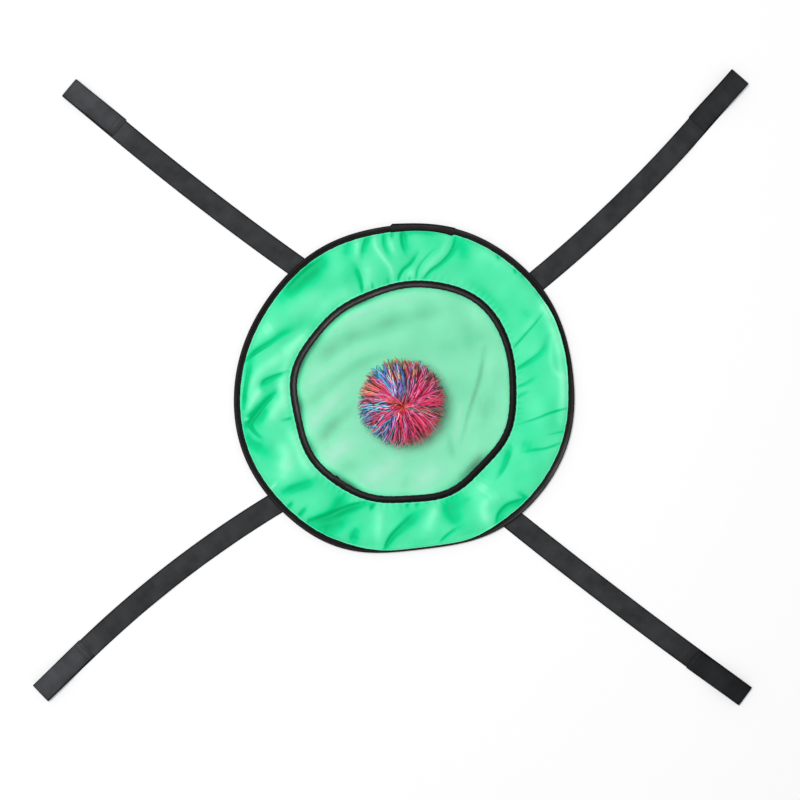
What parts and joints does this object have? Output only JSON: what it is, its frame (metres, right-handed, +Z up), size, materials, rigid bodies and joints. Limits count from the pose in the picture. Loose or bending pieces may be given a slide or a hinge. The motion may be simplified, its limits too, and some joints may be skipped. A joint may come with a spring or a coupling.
{
  "type": "four-handed bounce disc and ball",
  "caption": "Round cloth disc on a spring hoop with a net centre, webbing straps that end in hand loops, and a loose yarn ball lying on the net.",
  "frame": {"origin": "middle of the hoop, on the floor that the flat net lies on", "axes": "+Z up from the floor; +X out along strap 1, +Y out along strap 2, -X strap 3 and -Y strap 4, each within a few degrees"},
  "size_m": [1.0502, 1.0197, 0.0807],
  "materials": {
    "spring_steel": "bright rolled spring steel",
    "sleeve_steel": "plain crimped steel",
    "tape_black": "satin grosgrain binding tape, black",
    "cloth_green": "light satin taffeta, spring green, with soft gathers",
    "net_green": "sheer fine square mesh, pale green",
    "webbing_black": "woven black webbing, matt",
    "yarn_pink": "acrylic yarn, pink",
    "yarn_orange": "acrylic yarn, orange and yellow",
    "yarn_blue": "acrylic yarn, blue",
    "yarn_teal": "acrylic yarn, teal",
    "yarn_purple": "acrylic yarn, purple",
    "yarn_crimson": "acrylic yarn, crimson",
    "yarn_green": "acrylic yarn, dark green",
    "yarn_magenta": "acrylic yarn, magenta",
    "tie_cord": "thin twisted cord, off-white"
  },
  "bodies": {
    "disc": {"hoop_spring": "spring_steel", "hoop_sleeve": "sleeve_steel", "outer_binding": "tape_black", "cloth_ring": "cloth_green", "inner_binding_top": "tape_black", "inner_binding_bottom": "tape_black", "net_panel": "net_green", "sewn_end_1": "webbing_black", "sewn_end_2": "webbing_black", "sewn_end_3": "webbing_black", "sewn_end_4": "webbing_black"},
    "strap_1": {"strap_1": "webbing_black"},
    "hand_loop_1": {"hand_loop_1": "webbing_black"},
    "strap_2": {"strap_2": "webbing_black"},
    "hand_loop_2": {"hand_loop_2": "webbing_black"},
    "strap_3": {"strap_3": "webbing_black"},
    "hand_loop_3": {"hand_loop_3": "webbing_black"},
    "strap_4": {"strap_4": "webbing_black"},
    "hand_loop_4": {"hand_loop_4": "webbing_black"},
    "ball": {"ball_core": "yarn_magenta", "ball_tie": "tie_cord", "tuft_1": "yarn_pink", "tuft_2": "yarn_orange", "tuft_3": "yarn_blue", "tuft_4": "yarn_teal", "tuft_5": "yarn_purple", "tuft_6": "yarn_crimson", "tuft_7": "yarn_green", "tuft_8": "yarn_magenta"}
  },
  "joints": [
    {"name": "strap_fold_1", "type": "hinge", "parent": "disc", "child": "strap_1", "pos_m": [0.19661, -0.00515, 0.00075], "axis": [-0.0279, -0.9996, 0], "range_deg": [-90, 90]},
    {"name": "loop_fold_1", "type": "hinge", "parent": "strap_1", "child": "hand_loop_1", "pos_m": [0.43999, 0.00782, 0.00075], "axis": [0.134, -0.991, 0], "range_deg": [-90, 90]},
    {"name": "strap_fold_2", "type": "hinge", "parent": "disc", "child": "strap_2", "pos_m": [-0.00166, 0.19038, 0.00075], "axis": [0.9724, 0.2334, 0], "range_deg": [-90, 90]},
    {"name": "loop_fold_2", "type": "hinge", "parent": "strap_2", "child": "hand_loop_2", "pos_m": [-0.04915, 0.42914, 0.00075], "axis": [0.9877, 0.1564, 0], "range_deg": [-90, 90]},
    {"name": "strap_fold_3", "type": "hinge", "parent": "disc", "child": "strap_3", "pos_m": [-0.1992, 0.00035, 0.00075], "axis": [0.1668, 0.986, 0], "range_deg": [-90, 90]},
    {"name": "loop_fold_3", "type": "hinge", "parent": "strap_3", "child": "hand_loop_3", "pos_m": [-0.45673, 0.01587, 0.00075], "axis": [-0.0471, 0.9989, 0], "range_deg": [-90, 90]},
    {"name": "strap_fold_4", "type": "hinge", "parent": "disc", "child": "strap_4", "pos_m": [-0.00373, -0.19506, 0.00075], "axis": [-0.9842, -0.1771, 0], "range_deg": [-90, 90]},
    {"name": "loop_fold_4", "type": "hinge", "parent": "strap_4", "child": "hand_loop_4", "pos_m": [0.0452, -0.43663, 0.00075], "axis": [-0.9755, -0.2198, 0], "range_deg": [-90, 90]},
    {"name": "ball_lift", "type": "slide", "parent": "disc", "child": "ball", "axis": [0, 0, 1], "range_m": [0, 0.3]}
  ]
}
